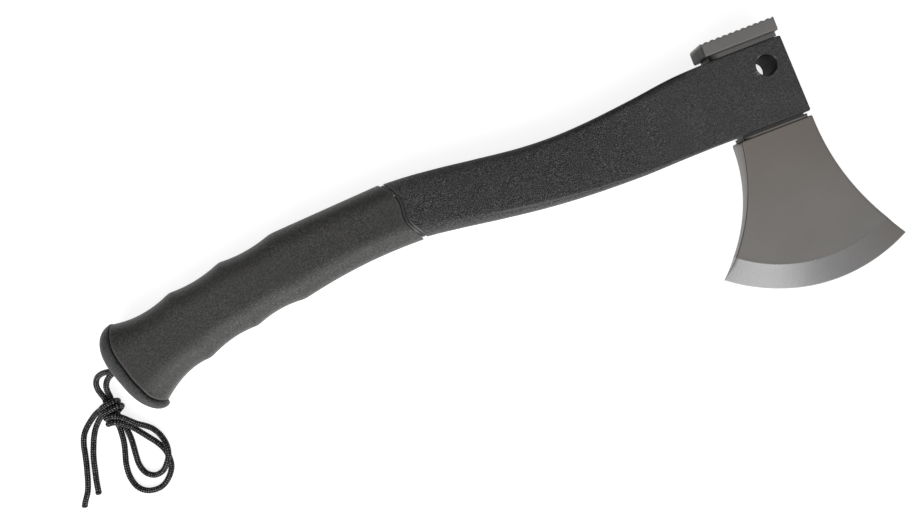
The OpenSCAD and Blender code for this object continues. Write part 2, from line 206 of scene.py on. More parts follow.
def nylon_material(name, colour, grain_mm, depth_mm):
    """Glass-filled nylon with a moulded stipple.

    The stipple fades where the vertex attribute plain is 1 and is shallower where fine is 1. Edges are
    lighter for wear and painted highlights, and very light, as painted highlight lines, where that attribute
    is above
    1.2. Where the painted shade attribute is 1 it is matt and near black.
    """
    n = surface(name)
    plain = n.attribute("plain")
    fine = n.attribute("fine")
    grained = n.math("SUBTRACT", 1.0, plain, clamp=True)
    per_m = 1 / (grain_mm * MM)
    pits = n.add("ShaderNodeTexVoronoi", {"Vector": n.coords, "Scale": per_m * 0.62}, "Distance")
    grains = n.noise(per_m * 1.15, 2.0, 0.55)
    height = n.math("ADD", n.times(pits, 0.8), grains)
    stipple = n.bump(height, depth_mm, n.times(grained, n.span(fine, 0, 1, 1.0, 0.45)))
    waves = n.noise(140, 3.0)
    normal = n.bump(waves, 0.05, 0.4, stipple)
    speck = n.span(grains, 0.5, 0.6)
    coarse = n.span(n.noise(per_m * 0.4, 2.0, 0.6), 0.4, 0.62)
    dark = tint(colour, 0.14)
    tone = n.mix(speck, dark, tint(colour, 5.4))
    tone = n.mix(n.times(fine, 0.5), tone, tint(colour, 2.2))
    tone = n.mix(n.times(coarse, 0.35), tone, dark)
    tone = n.mix(n.times(plain, 0.7), tone, colour)
    cloud = n.span(n.noise(60), 0.3, 0.7, 0.0, 0.3)
    tone = n.mix(cloud, tone, tint(colour, 0.8))
    wear_and_highlight = n.attribute("wear_and_highlight")
    # lighter for wear and painted highlights; very light on the painted highlight lines
    tone = n.mix(n.times(wear_and_highlight, 0.4), tone, tint(colour, 2.3))
    tone = n.mix(n.span(wear_and_highlight, 1.2, 2.4, 0, 0.75), tone, tint(colour, 10))
    # painted shade: near black and matt in the hanging hole, the recess by the blade and along the shaded top
    # edge
    deep = n.attribute("deep")
    tone = n.mix(n.times(deep, 0.93), tone, (0.001, 0.001, 0.001))
    rough = n.span(grains, 0.3, 0.7, 0.62, 0.5)
    shine = n.span(deep, 0, 1, 0.42, 0.05)
    return n.set(Base_Color=tone, Roughness=rough, Specular_IOR_Level=shine, Normal=normal)


def rubber_material():
    """Soft overmoulded grip, almost smooth, with a fine even tooth."""
    n = surface("grip_rubber")
    tooth = n.noise(2600, 3.0, 0.6)
    mottle = n.noise(820, 4.0, 0.6)
    large = n.noise(45)
    fleck = n.noise(1350, 3.0, 0.65)
    normal = n.bump(tooth, 0.06, 0.6)
    normal = n.bump(fleck, 0.14, 0.7, normal)
    normal = n.bump(mottle, 0.05, 0.5, normal)
    tone = n.mix(n.span(mottle, 0.35, 0.65), (0.036, 0.036, 0.0345), (0.095, 0.092, 0.0855))
    tone = n.mix(n.span(fleck, 0.36, 0.6), (0.014, 0.0138, 0.013), tone)
    tone = n.mix(n.span(large, 0.35, 0.65, 0, 0.4), tone, (0.044, 0.043, 0.041))
    # the grip's ends are lighter: a painted highlight along their rounded edges, with wear
    wear_and_highlight = n.attribute("wear_and_highlight")
    tone = n.mix(n.times(wear_and_highlight, 0.8), tone, (0.15, 0.147, 0.14))
    rough = n.span(mottle, 0.3, 0.7, 0.56, 0.46)
    return n.set(Base_Color=tone, Roughness=rough, Specular_IOR_Level=0.45, Normal=normal)


def steel_material():
    """Grey titanium coated steel: a smooth blasted forging.

    The colour goes from warm and darker to pale as the vertex attribute drift goes from 0 to 1: painted shade
    towards the blade's top and painted light lower down. Edges are lighter for wear and painted highlights,
    and surfaces are matt and near black where the painted shade attribute is 1.
    """
    n = surface("coated_steel")
    blast = n.noise(3200, 2.0, 0.55)
    cloud = n.noise(38, 3.0, 0.55)
    drift = n.noise(12)
    normal = n.bump(blast, 0.012, 0.35)
    normal = n.bump(n.noise(90), 0.05, 0.12, normal)
    tone = n.mix(n.span(cloud, 0.3, 0.7), (0.27, 0.245, 0.226), (0.3, 0.274, 0.254))
    tone = n.mix(n.span(drift, 0.35, 0.65, 0, 0.5), tone, (0.28, 0.262, 0.248))
    # painted shade and light: warm and darker where drift is 0, pale where it is 1
    warm = n.mix(0.6, tone, (0.17, 0.148, 0.128))
    pale = n.mix(0.6, tone, (0.42, 0.41, 0.4))
    tone = n.mix(n.attribute("drift"), warm, pale)
    patches = n.span(n.noise(900, 3.0, 0.6), 0.3, 0.6, 0.35, 1.0)
    wear_and_highlight = n.times(n.attribute("wear_and_highlight"), patches)
    tone = n.mix(n.times(wear_and_highlight, 0.55), tone, (0.52, 0.51, 0.5))
    # painted shade: near black and matt
    painted_steel_shade = n.attribute("painted_steel_shade")
    tone = n.mix(n.times(painted_steel_shade, 0.9), tone, (0.02, 0.02, 0.02))
    rough = n.math("ADD", n.span(cloud, 0.3, 0.7, 0.36, 0.42), n.span(blast, 0.3, 0.7, -0.02, 0.03))
    metal = n.span(painted_steel_shade, 0, 1, 1.0, 0.0)
    shine = n.span(painted_steel_shade, 0, 1, 0.5, 0.03)
    return n.set(Base_Color=tone, Metallic=metal, Specular_IOR_Level=shine, Roughness=rough, Normal=normal)


def bevel_material():
    """The ground bevel: fine lines across it, running towards the cutting edge, and warmer at the toe end."""
    n = surface("ground_bevel")
    sweep = n.attribute("sweep")
    across = n.add("ShaderNodeCombineXYZ", {0: n.times(sweep, 420.0)})
    lines = n.noise(1.0, 4.0, 0.7, across)
    cloud = n.noise(55, 3.0, 0.55)
    normal = n.bump(lines, 0.002, 0.16)
    tone = n.mix(n.span(cloud, 0.3, 0.7), (0.292, 0.288, 0.288), (0.318, 0.314, 0.316))
    tone = n.mix(n.span(lines, 0.3, 0.7, 0, 0.3), tone, (0.27, 0.266, 0.266))
    tone = n.mix(n.span(sweep, 0.05, 0.5), tone, (0.278, 0.262, 0.246))
    tone = n.mix(n.times(n.attribute("wear_and_highlight"), 0.6), tone, (0.55, 0.55, 0.55))
    rough = n.span(lines, 0.3, 0.7, 0.25, 0.3)
    return n.set(Base_Color=tone, Metallic=1.0, Roughness=rough, Normal=normal)


def cord_material():
    """Black braided nylon with fine filaments, and a pale glint on some of the braid's floats."""
    n = surface("black_cord")
    fibre = n.noise(9000, 2.0, 0.6)
    height = n.attribute("braid")
    normal = n.bump(fibre, 0.03, 0.5)
    tone = n.mix(n.span(height, 0.4, 1.0), (0.0008, 0.0008, 0.0008), (0.006, 0.006, 0.0061))
    tone = n.mix(n.attribute("pale"), tone, (0.36, 0.36, 0.365))
    rough = n.span(fibre, 0.3, 0.7, 0.4, 0.55)
    return n.set(Base_Color=tone, Roughness=rough, Specular_IOR_Level=0.15, Normal=normal)


def plain_material(name, colour, rough, metallic=0.0, grain=1500, depth_mm=0.02):
    """A small part's material: one colour, slightly clouded, with a fine grain."""
    n = surface(name)
    noise = n.noise(grain, 3.0, 0.6)
    cloud = n.noise(120, 3.0, 0.6)
    normal = n.bump(noise, depth_mm, 0.5)
    tone = n.mix(n.span(cloud, 0.3, 0.7), tint(colour, 0.8), tint(colour, 1.25))
    roughness = n.span(noise, 0.3, 0.7, rough - 0.05, rough + 0.06)
    return n.set(Base_Color=tone, Metallic=metallic, Roughness=roughness, Normal=normal)


def ferro_material():
    """Ferrocerium rod: dark coat, scored bright in places along one side."""
    n = surface("ferro_rod")
    noise = n.noise(800, 4.0, 0.65)
    lengthways = n.add("ShaderNodeMapping", {"Vector": n.coords, "Scale": (260, 4200, 4200)})
    score = n.noise(1.0, 3.0, 0.6, lengthways)
    scored = n.span(score, 0.55, 0.68, 0, 0.7)
    normal = n.bump(noise, 0.05, 0.5)
    normal = n.bump(score, 0.03, 0.5, normal)
    tone = n.mix(n.span(noise, 0.3, 0.7), (0.045, 0.043, 0.041), (0.085, 0.08, 0.076))
    tone = n.mix(scored, tone, (0.3, 0.29, 0.28))
    return n.set(Base_Color=tone, Metallic=n.span(scored, 0, 0.7, 0.25, 1.0), Roughness=0.45, Normal=normal)


TIP_MELT = plain_material("melted_nylon", (0.012, 0.012, 0.012), 0.3)
NYLON = nylon_material("nylon", (0.032, 0.0322, 0.0328), 0.42, 0.4)
RUBBER = rubber_material()
STEEL = steel_material()
BEVEL = bevel_material()
CORD = cord_material()
FERRO = ferro_material()
PLUG = plain_material("plug_nylon", (0.028, 0.028, 0.029), 0.5)
PIN = plain_material("pin_steel", (0.6, 0.59, 0.57), 0.28, 1.0, 3000, 0.006)
SEAL = plain_material("seal_rubber", (0.02, 0.02, 0.02), 0.42)


# ---------- meshes ----------

SHARP = 32  # degrees between faces above which an edge is drawn sharp


def grid(rows, cols, flip=False):
    """Faces between rows of points, each row closed on itself."""
    faces = []
    for i in range(rows - 1):
        for j in range(cols):
            a = i * cols + j
            b = i * cols + (j + 1) % cols
            face = (a, b, b + cols, a + cols)
            faces.append(face[::-1] if flip else face)
    return faces


def discs(rows, cols):
    """Flat faces that close the first row and the last."""
    return [tuple(range(cols))[::-1], tuple(range((rows - 1) * cols, rows * cols))]


def tunnel(rows, cols):
    """Faces of a pipe: the rows run along its outside and back along its inside."""
    last = (rows - 1) * cols
    ends = [(last + j, j, (j + 1) % cols, last + (j + 1) % cols) for j in range(cols)]
    return grid(rows, cols, flip=True) + ends


def piece(name, verts, faces, materials, attributes=None, sharp=SHARP):
    """A mesh object from head frame points, with its materials and vertex attributes."""
    mesh = bpy.data.meshes.new(name)
    mesh.from_pydata(row(verts).tolist(), [], [tuple(int(i) for i in f) for f in faces])
    shell = bmesh.new()
    shell.from_mesh(mesh)
    bmesh.ops.recalc_face_normals(shell, faces=shell.faces)
    shell.to_mesh(mesh)
    shell.free()
    mesh.update()
    for key, values in (attributes or {}).items():
        set_attribute(mesh, key, values)
    mesh.shade_smooth()
    mesh.set_sharp_from_angle(angle=math.radians(sharp))
    obj = put(name, mesh)
    for material in materials:
        mesh.materials.append(material)
    return obj


def set_attribute(mesh, name, values):
    layer = mesh.attributes.new(name, "FLOAT", "POINT")
    layer.data.foreach_set("value", np.asarray(values, np.float32))


def attach(obj, body, replaces=()):
    """Has the piece ride on a body and the CAD nodes that it stands for."""
    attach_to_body(obj, body)
    if replaces:
        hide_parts(*replaces)


def drill(obj, profile, base, axis, steps):
    """Cuts a turned shape out of obj."""
    verts, faces = turned(profile, base, axis, steps)
    cutter = piece("cutter", verts, faces, obj.data.materials)
    cut = obj.modifiers.new("cut", "BOOLEAN")
    cut.operation = "DIFFERENCE"
    cut.solver = "EXACT"
    cut.object = cutter
    graph = bpy.context.evaluated_depsgraph_get()
    mesh = bpy.data.meshes.new_from_object(obj.evaluated_get(graph))
    obj.modifiers.clear()
    old = obj.data
    obj.data = mesh
    bpy.data.meshes.remove(old)
    bpy.data.objects.remove(cutter)
    mesh.set_sharp_from_angle(angle=math.radians(SHARP))


def turned(profile, base, axis, steps):
    """A solid turned round an axis: profile is (distance along the axis, radius), in mm."""
    axis = np.asarray(axis, float) / np.linalg.norm(axis)
    side = np.cross(axis, [0, 0, 1.0])
    side = side / np.linalg.norm(side) if np.linalg.norm(side) > 1e-6 else np.array([1.0, 0, 0])
    ring = circle(steps, side, np.cross(axis, side))
    verts = np.concatenate([np.asarray(base) + axis * s + ring * r for s, r in profile])
    rows = len(profile)
    return verts, grid(rows, steps) + discs(rows, steps)


def template(corner, side, face):
    """Ring of a rounded rectangle, as (flat share across, flat share through, cos, sin) rows.

    It starts at the corner between the top and the +z face and turns down that face. It has corner steps
    round each corner, side steps across the top and bottom, and face steps down each broad face.
    """
    points = []
    for quarter in range(4):
        along = 1 if quarter in (0, 3) else -1
        through = 1 if quarter < 2 else -1
        for k in range(corner + 1):
            a = math.radians(90 * (quarter + k / corner))
            points.append((along, through, math.cos(a), math.sin(a)))
        flat = face if quarter % 2 == 0 else side
        for k in range(1, flat):
            t = k / flat
            down, up = 1 - 2 * t, 2 * t - 1
            sides = ((down, 1, 0, 1), (-1, down, -1, 0), (up, -1, 0, -1), (1, up, 1, 0))
            points.append(sides[quarter])
    return np.array(points)


def rounded(ring, height, half, corner_y, corner_z):
    """The ring's rounded rectangle, as heights and depths from its middle."""
    h = ring[..., 0] * (height - corner_y) + corner_y * ring[..., 2]
    z = ring[..., 1] * (half - corner_z) + corner_z * ring[..., 3]
    return h, z


def circle(steps, side, up):
    """Directions round a circle, from side towards up."""
    angle = np.arange(steps) * 2 * math.pi / steps
    return np.cos(angle)[:, None] * side + np.sin(angle)[:, None] * up


def distance(path):
    """How far along the path each of its points is."""
    return np.concatenate([[0], np.cumsum(np.linalg.norm(np.diff(path, axis=0), axis=1))])


def halve(low, high, past):
    """The place between low and high where past starts to hold."""
    for _ in range(40):
        middle = (low + high) / 2
        beyond = past(middle)
        low, high = np.where(beyond, low, middle), np.where(beyond, middle, high)
    return (low + high) / 2


# ---------- lanyard ----------

CORD_D = 3.2
LIE = CORD_D / 2 + 0.1  # height of a cord's middle where it lies on the floor

# The cord's route, with heights above the floor. It leaves the pin as two strands, a and b. Each strand goes
# through the knot's core, round its bow loop, back round the knot as a wrap, and out as a tail.
STRAND_A = [
    (-387.6, -15.7, 14), (-387.7, -15.7, 15.2), (-388.7, -15.9, 16.6), (-390.8, -16.4, 17),
    (-395, -16.9, 16.9), (-399.4, -16.7, 16.3), (-403.8, -16.2, 14.2), (-408.2, -17.2, 11.2),
    (-411, -20.1, 8.6), (-411.8, -23.6, 6.8), (-411.2, -27, 5.6), (-410.6, -29.6, 5),
]  # fmt: skip
STRAND_B = [
    (-387.6, -15.7, 14), (-387.7, -15.7, 12.8), (-388.7, -15.9, 11.4), (-390.8, -16.4, 10.9),
    (-395, -17.2, 10.8), (-399.6, -18.1, 10.5), (-403.8, -19.9, 9.2), (-406.6, -22.8, 7.4),
    (-407.7, -26, 5.8), (-407.7, -29.4, 4.8),
]  # fmt: skip
CORE_A = [(-411, -33, 4.8), (-411.3, -38, 4.8), (-411, -42.5, 3.4)]
CORE_B = [(-407.8, -33, 4.8), (-407.9, -38, 4.8), (-407.5, -42.5, 3.4)]
LOOP_A = [
    (-407, -46, LIE), (-406.6, -50, LIE), (-406.2, -55, LIE), (-406.5, -60, LIE), (-407, -65, LIE),
    (-407.2, -70, LIE), (-406, -74.6, LIE), (-403.5, -77.6, LIE), (-400, -79, LIE), (-395.4, -78, 3.6),
    (-391.8, -75, 5), (-389.3, -71.2, 5), (-388.3, -67.4, 4.8), (-388.7, -63.4, 3.6), (-390.4, -58.8, 2.2),
    (-393, -54.6, LIE),
]  # fmt: skip
LOOP_B = [
    (-410, -46, LIE), (-410.2, -52.3, LIE), (-411, -57.4, LIE), (-412.4, -62.4, LIE), (-413.8, -67.4, LIE),
    (-414.4, -72.4, LIE), (-414.1, -76.6, LIE), (-412.8, -80.8, LIE), (-410.2, -84, LIE),
    (-406.3, -86, LIE), (-401.3, -86.4, LIE), (-397.3, -85, LIE), (-393.7, -82, LIE), (-391, -78, LIE),
    (-390.2, -74, LIE), (-390.4, -70, LIE), (-391.6, -66, LIE), (-394, -61.8, LIE), (-397, -57.8, LIE),
]  # fmt: skip
WRAP_A = [
    (-396, -51.6, 2.4), (-399.8, -48.6, 3.8), (-402.8, -45.4, 5.6), (-405.6, -42, 7.6), (-408.8, -40, 8.3),
    (-412, -39.6, 7.4), (-413.6, -39.9, 4.8), (-412.2, -38.4, 1.8), (-408, -35.2, LIE), (-406, -33.6, 1.9),
    (-405.6, -33, 4.8), (-406.2, -32.6, 7.4), (-409.3, -33, 8.2), (-412.4, -33.9, 7), (-415, -35, 5),
]  # fmt: skip
WRAP_B = [
    (-399.8, -54, LIE), (-402, -51, 1.8), (-403.9, -48, 3.6), (-406.2, -45.2, 6.6), (-409, -43.4, 8),
    (-412, -42.9, 7.2), (-413.9, -42.7, 4.8), (-412.5, -41.5, 1.8), (-408, -38.5, LIE),
    (-404.8, -36.8, 1.9), (-403.9, -36, 4.8), (-404.8, -35.8, 7.4), (-408, -36.2, 8.2),
    (-411.5, -36.8, 7.6), (-413.5, -37.2, 6.4), (-416.4, -38.6, 3.6),
]  # fmt: skip
TAIL_A = [
    (-417.6, -35.4, 3), (-420, -36.1, 2), (-423.7, -38.3, LIE), (-427.4, -41.3, LIE), (-430.1, -44.7, LIE),
    (-432, -49.4, LIE), (-433.1, -54.4, LIE), (-434.3, -59.4, LIE), (-435.7, -64.4, LIE),
    (-437.2, -69.3, LIE), (-439.2, -74.2, LIE), (-442.2, -78.6, LIE), (-443.3, -80.5, LIE),
]  # fmt: skip
TAIL_B = [
    (-418.6, -39.6, 2.2), (-420.5, -41.1, LIE), (-422.7, -43.4, LIE), (-425.1, -47.2, LIE),
    (-427, -51.4, LIE), (-428.7, -55.6, LIE), (-430.1, -60.2, LIE), (-431.3, -65.2, LIE),
    (-432.5, -70.2, LIE), (-433.7, -76.5, LIE),
]  # fmt: skip
SETTLE_STEP = 0.8
IN_PLUG = 16.0  # length of each strand that the plug holds
NEIGHBOURS = 2.4 * CORD_D  # points closer than this along a cord don't push each other
REACH = 4 * CORD_D  # points further apart than this at the start never meet
BRAID_STEP = 0.26
BRAID_R, BRAID_RISE = 1.32, 0.36  # radius between the braid's floats, and how far they stand up
MELTED_END = [(-0.5, 1.35), (-0.2, 1.62), (0.3, 1.7), (0.9, 1.58), (1.3, 1.25), (1.5, 0.8), (1.6, 0.25)]


def resample(points, step):
    """The smooth line through the points, as a point every step."""
    p = np.asarray(points, float)
    ends = np.concatenate([2 * p[:1] - p[1:2], p, 2 * p[-1:] - p[-2:-1]])
    t = np.linspace(0, 1, 16, endpoint=False)[:, None]
    out = []
    for a, b, c, d in zip(ends, ends[1:], ends[2:], ends[3:], strict=False):
        out.append(b + 0.5 * t * (c - a + t * (2 * a - 5 * b + 4 * c - d + t * (3 * (b - c) + d - a))))
    out = np.concatenate(out + [p[-1:]])
    run = distance(out)
    at = np.linspace(0, run[-1], round(run[-1] / step) + 1)
    return np.stack([np.interp(at, run, out[:, k]) for k in range(3)], -1)


def settle(lines, rounds=220):
    """Moves the cords apart where they press into each other, and keeps them above the floor."""
    start = np.concatenate(lines)
    which = np.concatenate([np.full(len(line), i) for i, line in enumerate(lines)])
    place = np.concatenate([np.arange(len(line)) for line in lines]) * SETTLE_STEP
    count = np.concatenate([np.full(len(line), len(line) - 1) for line in lines]) * SETTLE_STEP
    held = (place < IN_PLUG) | (place > count - 2)
    near = (which[:, None] == which) & (np.abs(place[:, None] - place) < NEIGHBOURS)
    near |= (place[:, None] < IN_PLUG) & (place < IN_PLUG)
    first, second = np.nonzero(np.triu(~near, 1))
    close = np.linalg.norm(start[first] - start[second], axis=1) < REACH
    first, second = first[close], second[close]
    shift = np.zeros_like(start)
    ends = np.nonzero(np.diff(which, prepend=-1, append=-1))[0]
    inner = np.setdiff1d(np.arange(len(start)), [*ends, *(ends - 1)])
    for _ in range(rounds):
        p = start + shift
        gap = p[first] - p[second]
        far = np.linalg.norm(gap, axis=1)
        push = np.clip(CORD_D * 0.99 - far, 0, 1) / np.maximum(far, 0.2)
        push = gap * (push * 0.22)[:, None]
        np.add.at(shift, first, push)
        np.add.at(shift, second, -push)
        shift[inner] += 0.3 * (0.5 * (shift[inner - 1] + shift[inner + 1]) - shift[inner])
        shift[held] = 0
        shift[:, 2] = np.maximum(shift[:, 2], LIE - start[:, 2])
    p = start + shift
    return [p[which == i] for i in range(len(lines))]


def tube(path, radius, around):
    """Rings round a path, turned as little as possible from one to the next."""
    tangent = np.gradient(path, axis=0)
    tangent /= np.linalg.norm(tangent, axis=1)[:, None]
    side = np.cross(tangent[0], [0, 0, 1.0])
    side /= np.linalg.norm(side)
    verts = []
    for point, along, r in zip(path, tangent, radius, strict=True):
        side = side - along * (side @ along)
        side /= np.linalg.norm(side)
        verts.append(point + circle(around, side, np.cross(along, side)) * r[:, None])
    return np.concatenate(verts), grid(len(path), around) + discs(len(path), around)


def braid(path, around=48, strands=8, pick=1.3):
    """How far the braid stands up at each point of a cord, and how pale each point is.

    The strands' floats lean both ways, and those that lean one way catch the light, some more than others.
    """
    run = distance(path)
    turn = (np.arange(around) / around * strands)[None, :]
    a, b = turn + run[:, None] / pick, turn - run[:, None] / pick
    over = (np.floor(a) + np.floor(b)) % 2 == 0
    across = np.where(over, a % 1, b % 1) - 0.5
    along = np.where(over, b % 1, a % 1) - 0.5
    height = np.sqrt(np.clip(1 - (1.9 * across) ** 2, 0, 1)) * (0.45 + 0.55 * np.cos(math.pi * along))
    chance = (np.sin(np.floor(a) * 12.99 + np.floor(b) * 78.2) * 437.58) % 1
    return height, np.where(over, smooth(height, 0.6, 0.95) * (0.2 + 0.8 * chance), 0.0)


def cord_piece(name, path, tip_name, nodes, tip_node):
    """One strand of the cord from the pin to its melted end, at its real length."""
    path = resample(path, BRAID_STEP) - [0, 0, ORIGIN[2]]
    height, pale = braid(path)
    verts, faces = tube(path, BRAID_R + BRAID_RISE * height, height.shape[1])
    cord = piece(name, verts, faces, [CORD], {"braid": height.ravel(), "pale": pale.ravel()}, 60)
    attach(cord, "fire_steel", nodes)
    along = path[-1] - path[-4]
    verts, faces = turned(MELTED_END, path[-1], along, 32)
    lump = np.sin(verts @ np.array([3.1, 1.7, 2.3])) * 0.06
    verts = path[-1] + (verts - path[-1]) * (1 + lump[:, None])
    tip = piece(tip_name, verts, faces, [TIP_MELT])
    attach(tip, "fire_steel", [tip_node])


cord_over, cord_under = settle(
    [
        resample(STRAND_A + CORE_A + LOOP_B + WRAP_B + TAIL_B, SETTLE_STEP),
        resample(STRAND_B + CORE_B + LOOP_A + WRAP_A + TAIL_A, SETTLE_STEP),
    ]
)
over_nodes = ["lanyard_strand_a", "lanyard_knot", "lanyard_loop_b", "lanyard_tail_b"]
under_nodes = ["lanyard_strand_b", "lanyard_loop_a", "lanyard_tail_a"]
cord_piece("cord_over", cord_over, "melted_end_short", over_nodes, "lanyard_tip_b")
cord_piece("cord_under", cord_under, "melted_end_long", under_nodes, "lanyard_tip_a")


# ---------- handle ----------

NECK_TOP = [
    (-262, 24), (-236, 24.9), (-215, 24.3), (-195, 22.3), (-175, 19.6), (-150, 16.5), (-130, 15.6),
    (-110, 16.4), (-85, 18.8), (-63, 21.5), (-45, 22.3), (-30, 22.3),
]  # fmt: skip
NECK_LOW = [
    (-262, -12), (-236, -10.4), (-215, -10), (-195, -12.3), (-170, -16), (-145, -19.1), (-120, -20.9),
    (-90, -21.6), (-65, -21), (-45, -20.7), (-30, -20.7),
]  # fmt: skip
NECK_HALF = [(-262, 12.6), (-236, 12.6), (-190, 12.4), (-130, 12.6), (-80, 13.6), (-45, 14), (-30, 14)]
NECK_CORNER_Y = [(-262, 9), (-236, 9), (-190, 6), (-130, 3.4), (-80, 1.6), (-45, 0.8), (-30, 0.8)]
NECK_CORNER_Z = [(-262, 11), (-236, 11), (-190, 9), (-130, 6), (-80, 2.2), (-45, 0.9), (-30, 0.9)]
SEAM = [
    (-14, -214), (-10.5, -215.2), (-6.6, -217), (-3, -219.2), (1, -220.8), (5, -221), (10, -220.4),
    (14.5, -220.9), (18.6, -222.6), (22.4, -225.6), (27, -229.5),
]  # fmt: skip
SEAM_X = 212.0  # about how far the seam is from the head end
SEAM_HALF_GAP = 0.06
BORDER_IN = 0.55  # how far the smooth border along the seam lies below the skin
# The border and its groove, as (distance from the seam, depth)
BORDER = [(1, 0.55), (1.4, 0.55), (1.75, 0.58), (1.95, 1), (2.05, 1), (2.2, 0.25), (2.35, 0.06), (2.6, 0)]
BORDER_END = 2.3
END_RAKE = 1.1  # how far the block's end leans forward from top to bottom
BLOCK_LEN = 45.0
BLOCK_HALF = 14.0


def seam_x(y):
    """Where the seam between grip and neck lies at height y."""
    return curve(SEAM, np.clip(y, -14, 27))


def neck_point(x, ring, inset):
    """A point of the neck's skin at x, for each row of the ring template."""
    top, low = curve(NECK_TOP, x) - inset, curve(NECK_LOW, x) + inset
    half = curve(NECK_HALF, x) - inset
    corner_y = np.maximum(curve(NECK_CORNER_Y, x) - np.maximum(inset, 0), 0.15)
    corner_z = np.maximum(curve(NECK_CORNER_Z, x) - np.maximum(inset, 0), 0.15)
    mid, height = (top + low) / 2, (top - low) / 2
    h, z = rounded(ring, height, half, corner_y, corner_z)
    y = mid + h
    z = z * (1 - 0.075 * (1 - smooth(x, -150, -60)) * (h / height) ** 2)
    rake = END_RAKE * (top - y) / (top - low) * np.clip((x + BLOCK_LEN) / BLOCK_LEN, 0, 1)
    return np.stack([x + rake, y, z], -1)


def neck_row(ring, from_seam, to_x, share, inset):
    """A row of the neck that follows the seam when share is 0 and is square to the handle when it is 1."""
    x = np.full(len(ring), -200.0)
    for _ in range(8):
        y = neck_point(x, ring, inset)[:, 1]
        x = (1 - share) * (seam_x(y) + from_seam) + share * to_x
    return neck_point(x, ring, inset)


def fillet(radius, steps=4):
    """(distance past the edge, inset) pairs of a rounded edge, from the wall to the skin."""
    out = []
    for k in range(steps + 1):
        a = math.radians(90 * k / steps)
        out.append((radius * (1 - math.cos(a)), radius * (1 - math.sin(a))))
    return out


def ladder(first, ring):
    """Faces that close a ring by joining each point to its mirror image through the thickness."""
    count = len(ring)
    start = int(np.argmin(np.abs(ring - np.array([1, 0, 1, 0])).sum(1)))
    order = np.arange(count // 2 + 1)
    front, back = (start + order) % count, (start - order) % count
    level = (ring[:, 0] + ring[:, 2])[front]
    top = int(np.argmax(level < 2))
    low = int(np.argmax(level == -2)) - 1
    top_side = [*front[top::-1], *back[1 : top + 1]]
    low_side = [*front[low:], *back[-2 : low - len(back) - 1 : -1]]
    faces = [top_side, low_side]
    faces += [(front[k], front[k + 1], back[k + 1], back[k]) for k in range(top, low)]
    return [tuple(int(first + i) for i in face) for face in faces]


def solid(rows, ring, flip=True):
    """Faces of a solid with a row of points for each ring, closed at both ends."""
    first, last = ladder(0, ring), ladder((rows - 1) * len(ring), ring)
    if flip:
        first = [f[::-1] for f in first]
    else:
        last = [f[::-1] for f in last]
    return grid(rows, len(ring), flip) + first + last


def neck_wear_and_highlights(p, ring, on_seam, from_seam):
    """Light edges: the block's worn corners, and painted highlights on the seam border's lips and the
    underside's crease.
    """
    x, y, z = p.T
    corner = (np.abs(ring[:, 2]) > 0.2) & (np.abs(ring[:, 3]) > 0.2)
    block = np.where(corner, 0.6 * smooth(x, -120, -50), 0.0)
    # a painted highlight line along the crease of the underside
    crease = (np.abs(ring[:, 2] + 0.309) < 0.02) & (np.abs(ring[:, 3]) > 0.9)
    line = np.where(crease, 1.7 * smooth(x, -205, -165) * (1 - smooth(x, -75, -50)), 0.0)
    lip_highlight = 0.0
    # a painted highlight on the lips of the seam's border, brighter low down and near the top, on the broad
    # faces
    if on_seam and (0.1 < from_seam < 0.7 or 2.1 < from_seam < 2.5):
        glint = 1.4 * (1 - smooth(y, -3, 4)) + 0.8 * smooth(y, 14, 18)
        lip_highlight = 1 + glint * smooth(np.abs(z), 7, 10)
    return np.maximum(np.maximum(block, line), lip_highlight)


def neck_mesh():
    """The handle's outside from the seam to the head end."""
    ring = template(10, 14, 30)
    # Rows are (distance from the seam, x, share from seam to square, inset, how smooth the skin is).
    rows = []
    for past, inset in [(0.0, 3.0)] + fillet(0.6):
        rows.append((SEAM_HALF_GAP + past, 0.0, 0.0, inset + BORDER_IN, 1.0))
    for d, inset in BORDER:
        rows.append((SEAM_HALF_GAP + d, 0.0, 0.0, inset, 1.0 if d < BORDER_END else 0.6))
    for d in (3.2, 4.0, 5.0, 6.5, 8.0):
        rows.append((SEAM_HALF_GAP + d, 0.0, 0.0, 0.0, 0.0))
    steps = 70
    for i in range(1, steps + 1):
        t = i / steps
        rows.append((10 + 12 * t, t * (SEAM_X - BLOCK_LEN) - SEAM_X, float(smooth(t, 0, 0.12)), 0.0, 0.0))
    for x in (-40, -34, -28, -22, -16, -10, -5, -2.5):
        rows.append((0, x, 1.0, 0.0, 0.0))
    for past, inset in reversed(fillet(1.2, 5)):
        rows.append((0, -past, 1.0, inset, 0.0))
    points, plain, wear_and_highlight = [], [], []
    for from_seam, to_x, share, inset, smooth_here in rows:
        p = neck_row(ring, from_seam, to_x, share, inset)
        points.append(p)
        plain.append(np.full(len(ring), smooth_here))
        wear_and_highlight.append(neck_wear_and_highlights(p, ring, share == 0, from_seam))
    return np.concatenate(points), solid(len(rows), ring), np.concatenate(plain), np.concatenate(wear_and_highlight)


CREST_TOP = [(-404, 8.6), (-391, 7), (-354, 11.5), (-323, 17.2), (-292, 21.7), (-228, 25.2), (-212, 25.4)]
DIP_TOP = [0, 3.2, 1.8, 1.7, 0, 0]
CREST_LOW = [
    (-380.4, -51.8), (-376.9, -42.8), (-346, -29.3), (-316, -22.2), (-287, -18), (-216, -10.9),
    (-202, -10.2),
]  # fmt: skip
DIP_LOW = [0, 3.4, 2, 1.9, 2.3, 0]
GRIP_HALF = [13.4, 13.4, 12.6, 13.3, 13.3, 13, 13]  # half thickness at each pair of crests
STRETCHES = len(DIP_TOP)
PER_STRETCH = 60
SLEEVE_T = 6.6  # the sleeve's wall at the top and bottom lines
CORE_HALF = 9.7  # half thickness of the space for the core
BUTT_R = 55.5
BUTT_C = np.array([-342.7, -6.2])
RIM_W = 7.6


